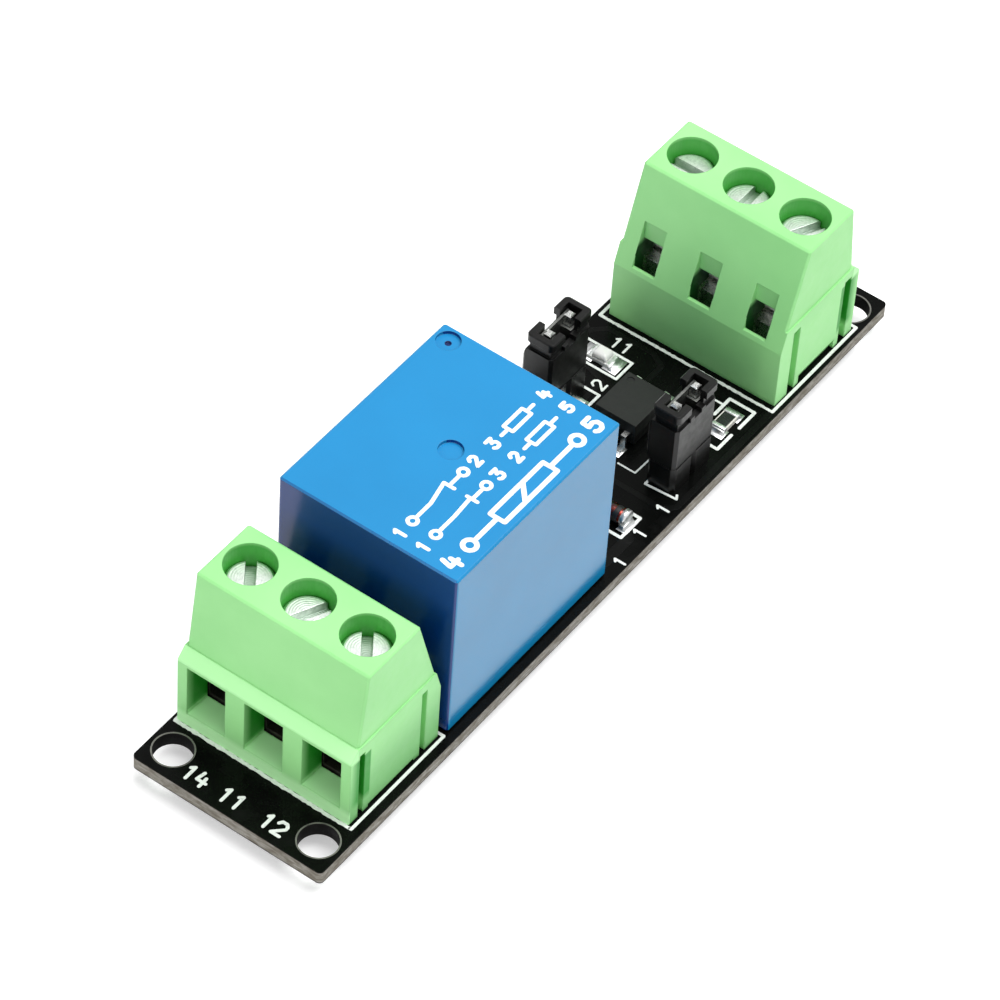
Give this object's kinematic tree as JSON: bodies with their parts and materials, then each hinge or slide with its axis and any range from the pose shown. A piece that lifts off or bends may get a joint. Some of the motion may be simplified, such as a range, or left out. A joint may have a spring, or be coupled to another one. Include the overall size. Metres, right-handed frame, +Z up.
{
  "type": "relay module board",
  "caption": "Long narrow black circuit board with a sealed blue cube relay, green screw terminal blocks at both ends, jumper caps and small driver parts.",
  "frame": {"origin": "under the middle of the board, at the level of the pin tips that it stands on", "axes": "+X across the board, +Y along it from the output end to the input end, +Z up from the component side"},
  "size_m": [0.0168, 0.0706, 0.0189],
  "materials": {
    "board_black": "glossy black solder mask over glass-epoxy board",
    "solder": "bright solder",
    "green_plastic": "semi-matt moulded green",
    "zinc_steel": "bright zinc-plated steel",
    "nickel_brass": "nickel-plated brass",
    "tinned_copper": "bright tin plate",
    "blue_plastic": "satin moulded blue",
    "relay_iron": "plated soft iron",
    "bobbin_plastic": "moulded black",
    "copper_winding": "enamelled copper wire",
    "spring_bronze": "rolled bronze strip",
    "contact_silver": "silver contact",
    "black_plastic": "moulded black",
    "led_white": "clear lens on a white carrier",
    "chip_ceramic": "glazed ceramic chip with tinned ends",
    "package_black": "moulded epoxy package",
    "diode_glass": "glass tube with tinned ends"
  },
  "bodies": {
    "board": {"base_resistor": "chip_ceramic", "circuit_board": "board_black", "drive_transistor": "package_black", "flyback_diode": "diode_glass", "header_pins_left": "tinned_copper", "header_pins_right": "tinned_copper", "input_resistor": "chip_ceramic", "input_terminal_contact_1": "tinned_copper", "input_terminal_contact_2": "tinned_copper", "input_terminal_contact_3": "tinned_copper", "input_terminal_housing": "green_plastic", "jumper_header_left": "black_plastic", "jumper_header_right": "black_plastic", "led_resistor": "chip_ceramic", "optocoupler": "package_black", "optocoupler_leads": "tinned_copper", "output_terminal_contact_1": "tinned_copper", "output_terminal_contact_2": "tinned_copper", "output_terminal_contact_3": "tinned_copper", "output_terminal_housing": "green_plastic", "relay_base": "blue_plastic", "relay_bobbin": "bobbin_plastic", "relay_closed_contact": "spring_bronze", "relay_coil": "copper_winding", "relay_coil_pins": "tinned_copper", "relay_common_pin": "tinned_copper", "relay_core": "relay_iron", "relay_cover": "blue_plastic", "relay_open_contact": "spring_bronze", "relay_yoke": "relay_iron", "solder_joints": "solder", "status_led": "led_white"},
    "output_screw_1": {"output_terminal_screw_1": "zinc_steel"},
    "output_cage_1": {"output_terminal_cage_1": "nickel_brass"},
    "output_screw_2": {"output_terminal_screw_2": "zinc_steel"},
    "output_cage_2": {"output_terminal_cage_2": "nickel_brass"},
    "output_screw_3": {"output_terminal_screw_3": "zinc_steel"},
    "output_cage_3": {"output_terminal_cage_3": "nickel_brass"},
    "input_screw_1": {"input_terminal_screw_1": "zinc_steel"},
    "input_cage_1": {"input_terminal_cage_1": "nickel_brass"},
    "input_screw_2": {"input_terminal_screw_2": "zinc_steel"},
    "input_cage_2": {"input_terminal_cage_2": "nickel_brass"},
    "input_screw_3": {"input_terminal_screw_3": "zinc_steel"},
    "input_cage_3": {"input_terminal_cage_3": "nickel_brass"},
    "armature": {"relay_armature": "relay_iron", "relay_blade": "spring_bronze", "relay_moving_contact": "contact_silver"},
    "left_cap": {"jumper_cap_left": "black_plastic", "jumper_clip_left": "tinned_copper"},
    "right_cap": {"jumper_cap_right": "black_plastic", "jumper_clip_right": "tinned_copper"}
  },
  "joints": [
    {"name": "output_screw_1_turn", "type": "hinge", "parent": "board", "child": "output_screw_1", "pos_m": [-0.00544, -0.02595, 0.0139], "axis": [0, 0, -1], "range_deg": [0, 1740]},
    {"name": "output_cage_1_rise", "type": "slide", "parent": "board", "child": "output_cage_1", "axis": [0, 0, 1], "range_m": [0, 0.0024]},
    {"name": "output_screw_2_turn", "type": "hinge", "parent": "board", "child": "output_screw_2", "pos_m": [-0.00036, -0.02595, 0.0139], "axis": [0, 0, -1], "range_deg": [0, 1740]},
    {"name": "output_cage_2_rise", "type": "slide", "parent": "board", "child": "output_cage_2", "axis": [0, 0, 1], "range_m": [0, 0.0024]},
    {"name": "output_screw_3_turn", "type": "hinge", "parent": "board", "child": "output_screw_3", "pos_m": [0.00472, -0.02595, 0.0139], "axis": [0, 0, -1], "range_deg": [0, 1740]},
    {"name": "output_cage_3_rise", "type": "slide", "parent": "board", "child": "output_cage_3", "axis": [0, 0, 1], "range_m": [0, 0.0024]},
    {"name": "input_screw_1_turn", "type": "hinge", "parent": "board", "child": "input_screw_1", "pos_m": [0.0052, 0.02645, 0.0139], "axis": [0, 0, -1], "range_deg": [0, 1740]},
    {"name": "input_cage_1_rise", "type": "slide", "parent": "board", "child": "input_cage_1", "axis": [0, 0, 1], "range_m": [0, 0.0024]},
    {"name": "input_screw_2_turn", "type": "hinge", "parent": "board", "child": "input_screw_2", "pos_m": [0.00012, 0.02645, 0.0139], "axis": [0, 0, -1], "range_deg": [0, 1740]},
    {"name": "input_cage_2_rise", "type": "slide", "parent": "board", "child": "input_cage_2", "axis": [0, 0, 1], "range_m": [0, 0.0024]},
    {"name": "input_screw_3_turn", "type": "hinge", "parent": "board", "child": "input_screw_3", "pos_m": [-0.00496, 0.02645, 0.0139], "axis": [0, 0, -1], "range_deg": [0, 1740]},
    {"name": "input_cage_3_rise", "type": "slide", "parent": "board", "child": "input_cage_3", "axis": [0, 0, 1], "range_m": [0, 0.0024]},
    {"name": "armature_tip", "type": "hinge", "parent": "board", "child": "armature", "pos_m": [-0.0001, -0.0031, 0.01555], "axis": [1, 0, 0], "range_deg": [0, 3], "stiffness_Nm_per_rad": 0.005, "springref_deg": -5.73},
    {"name": "left_cap_pull", "type": "slide", "parent": "board", "child": "left_cap", "axis": [0, 0, 1], "range_m": [0, 0.006]},
    {"name": "right_cap_pull", "type": "slide", "parent": "board", "child": "right_cap", "axis": [0, 0, 1], "range_m": [0, 0.006]}
  ],
  "couplings": [
    {"joint": "output_screw_1_turn", "follows": "output_cage_1_rise", "rad_per_m": 12566},
    {"joint": "output_screw_2_turn", "follows": "output_cage_2_rise", "rad_per_m": 12566},
    {"joint": "output_screw_3_turn", "follows": "output_cage_3_rise", "rad_per_m": 12566},
    {"joint": "input_screw_1_turn", "follows": "input_cage_1_rise", "rad_per_m": 12566},
    {"joint": "input_screw_2_turn", "follows": "input_cage_2_rise", "rad_per_m": 12566},
    {"joint": "input_screw_3_turn", "follows": "input_cage_3_rise", "rad_per_m": 12566}
  ]
}
